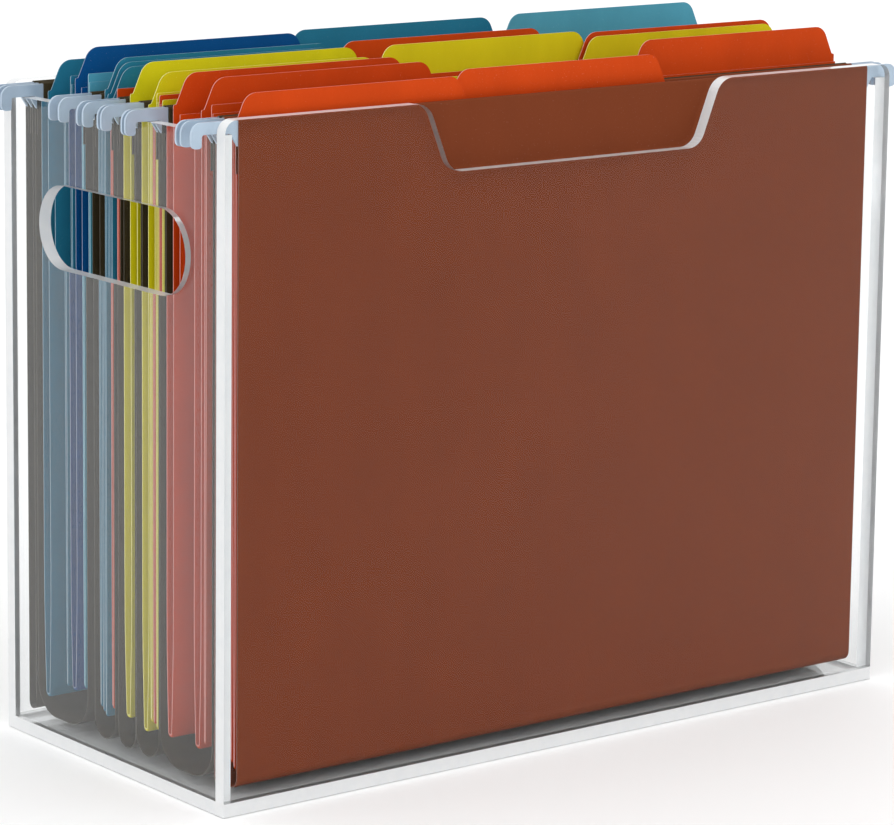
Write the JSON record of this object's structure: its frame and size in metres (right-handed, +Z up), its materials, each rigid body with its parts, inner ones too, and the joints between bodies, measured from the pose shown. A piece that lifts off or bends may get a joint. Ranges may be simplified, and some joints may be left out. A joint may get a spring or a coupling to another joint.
{
  "type": "desktop file sorter",
  "caption": "Clear open-topped desktop file box with a dipped front, side handle holes, hanging folders on its side walls and tabbed file folders inside.",
  "frame": {"origin": "on the desk, under the middle of the box", "axes": "+X to the right along the box's long side, +Y from the dipped front panel to the back panel, +Z up"},
  "size_m": [0.335, 0.143, 0.2645],
  "materials": {
    "clear_acrylic": "clear, polished edges",
    "brown_hanging_paper": "uncoated brown card, matt",
    "grey_rail_steel": "pale blue-grey coating, satin",
    "orange_cardstock": "uncoated dyed card, matt",
    "yellow_cardstock": "uncoated dyed card, matt",
    "teal_cardstock": "uncoated dyed card, matt",
    "pale_teal_cardstock": "uncoated dyed card, matt",
    "blue_cardstock": "uncoated dyed card, matt"
  },
  "bodies": {
    "case": {"base_panel": "clear_acrylic", "front_panel": "clear_acrylic", "back_panel": "clear_acrylic", "left_panel": "clear_acrylic", "right_panel": "clear_acrylic"},
    "hanging_folder_1": {"hanging_sleeve_1": "brown_hanging_paper", "front_rail_1": "grey_rail_steel", "back_rail_1": "grey_rail_steel"},
    "hanging_folder_2": {"hanging_sleeve_2": "brown_hanging_paper", "front_rail_2": "grey_rail_steel", "back_rail_2": "grey_rail_steel"},
    "hanging_folder_3": {"hanging_sleeve_3": "brown_hanging_paper", "front_rail_3": "grey_rail_steel", "back_rail_3": "grey_rail_steel"},
    "hanging_folder_4": {"hanging_sleeve_4": "brown_hanging_paper", "front_rail_4": "grey_rail_steel", "back_rail_4": "grey_rail_steel"},
    "hanging_folder_5": {"hanging_sleeve_5": "brown_hanging_paper", "front_rail_5": "grey_rail_steel", "back_rail_5": "grey_rail_steel"},
    "hanging_folder_6": {"hanging_sleeve_6": "brown_hanging_paper", "front_rail_6": "grey_rail_steel", "back_rail_6": "grey_rail_steel"},
    "hanging_folder_7": {"hanging_sleeve_7": "brown_hanging_paper", "front_rail_7": "grey_rail_steel", "back_rail_7": "grey_rail_steel"},
    "file_1": {"file_folder_1": "orange_cardstock"},
    "file_2": {"file_folder_2": "orange_cardstock"},
    "file_3": {"file_folder_3": "orange_cardstock"},
    "file_4": {"file_folder_4": "orange_cardstock"},
    "file_5": {"file_folder_5": "orange_cardstock"},
    "file_6": {"file_folder_6": "yellow_cardstock"},
    "file_7": {"file_folder_7": "orange_cardstock"},
    "file_8": {"file_folder_8": "yellow_cardstock"},
    "file_9": {"file_folder_9": "yellow_cardstock"},
    "file_10": {"file_folder_10": "yellow_cardstock"},
    "file_11": {"file_folder_11": "orange_cardstock"},
    "file_12": {"file_folder_12": "teal_cardstock"},
    "file_13": {"file_folder_13": "teal_cardstock"},
    "file_14": {"file_folder_14": "teal_cardstock"},
    "file_15": {"file_folder_15": "pale_teal_cardstock"},
    "file_16": {"file_folder_16": "blue_cardstock"},
    "file_17": {"file_folder_17": "teal_cardstock"},
    "file_18": {"file_folder_18": "teal_cardstock"}
  },
  "joints": [
    {"name": "lift_hanging_folder_1", "type": "slide", "parent": "case", "child": "hanging_folder_1", "axis": [0, 0, 1], "range_m": [0, 0.242]},
    {"name": "lift_hanging_folder_2", "type": "slide", "parent": "case", "child": "hanging_folder_2", "axis": [0, 0, 1], "range_m": [0, 0.242]},
    {"name": "lift_hanging_folder_3", "type": "slide", "parent": "case", "child": "hanging_folder_3", "axis": [0, 0, 1], "range_m": [0, 0.242]},
    {"name": "lift_hanging_folder_4", "type": "slide", "parent": "case", "child": "hanging_folder_4", "axis": [0, 0, 1], "range_m": [0, 0.242]},
    {"name": "lift_hanging_folder_5", "type": "slide", "parent": "case", "child": "hanging_folder_5", "axis": [0, 0, 1], "range_m": [0, 0.242]},
    {"name": "lift_hanging_folder_6", "type": "slide", "parent": "case", "child": "hanging_folder_6", "axis": [0, 0, 1], "range_m": [0, 0.242]},
    {"name": "lift_hanging_folder_7", "type": "slide", "parent": "case", "child": "hanging_folder_7", "axis": [0, 0, 1], "range_m": [0, 0.242]},
    {"name": "lift_file_1", "type": "slide", "parent": "hanging_folder_1", "child": "file_1", "axis": [0, 0, 1], "range_m": [0, 0.236]},
    {"name": "lift_file_2", "type": "slide", "parent": "hanging_folder_1", "child": "file_2", "axis": [0, 0, 1], "range_m": [0, 0.236]},
    {"name": "lift_file_3", "type": "slide", "parent": "hanging_folder_2", "child": "file_3", "axis": [0, 0, 1], "range_m": [0, 0.236]},
    {"name": "lift_file_4", "type": "slide", "parent": "hanging_folder_2", "child": "file_4", "axis": [0, 0, 1], "range_m": [0, 0.236]},
    {"name": "lift_file_5", "type": "slide", "parent": "hanging_folder_2", "child": "file_5", "axis": [0, 0, 1], "range_m": [0, 0.236]},
    {"name": "lift_file_6", "type": "slide", "parent": "hanging_folder_3", "child": "file_6", "axis": [0, 0, 1], "range_m": [0, 0.236]},
    {"name": "lift_file_7", "type": "slide", "parent": "hanging_folder_3", "child": "file_7", "axis": [0, 0, 1], "range_m": [0, 0.236]},
    {"name": "lift_file_8", "type": "slide", "parent": "hanging_folder_3", "child": "file_8", "axis": [0, 0, 1], "range_m": [0, 0.236]},
    {"name": "lift_file_9", "type": "slide", "parent": "hanging_folder_3", "child": "file_9", "axis": [0, 0, 1], "range_m": [0, 0.236]},
    {"name": "lift_file_10", "type": "slide", "parent": "hanging_folder_4", "child": "file_10", "axis": [0, 0, 1], "range_m": [0, 0.236]},
    {"name": "lift_file_11", "type": "slide", "parent": "hanging_folder_5", "child": "file_11", "axis": [0, 0, 1], "range_m": [0, 0.236]},
    {"name": "lift_file_12", "type": "slide", "parent": "hanging_folder_5", "child": "file_12", "axis": [0, 0, 1], "range_m": [0, 0.236]},
    {"name": "lift_file_13", "type": "slide", "parent": "hanging_folder_5", "child": "file_13", "axis": [0, 0, 1], "range_m": [0, 0.236]},
    {"name": "lift_file_14", "type": "slide", "parent": "hanging_folder_5", "child": "file_14", "axis": [0, 0, 1], "range_m": [0, 0.236]},
    {"name": "lift_file_15", "type": "slide", "parent": "hanging_folder_6", "child": "file_15", "axis": [0, 0, 1], "range_m": [0, 0.236]},
    {"name": "lift_file_16", "type": "slide", "parent": "hanging_folder_6", "child": "file_16", "axis": [0, 0, 1], "range_m": [0, 0.236]},
    {"name": "lift_file_17", "type": "slide", "parent": "hanging_folder_6", "child": "file_17", "axis": [0, 0, 1], "range_m": [0, 0.236]},
    {"name": "lift_file_18", "type": "slide", "parent": "hanging_folder_6", "child": "file_18", "axis": [0, 0, 1], "range_m": [0, 0.236]}
  ]
}
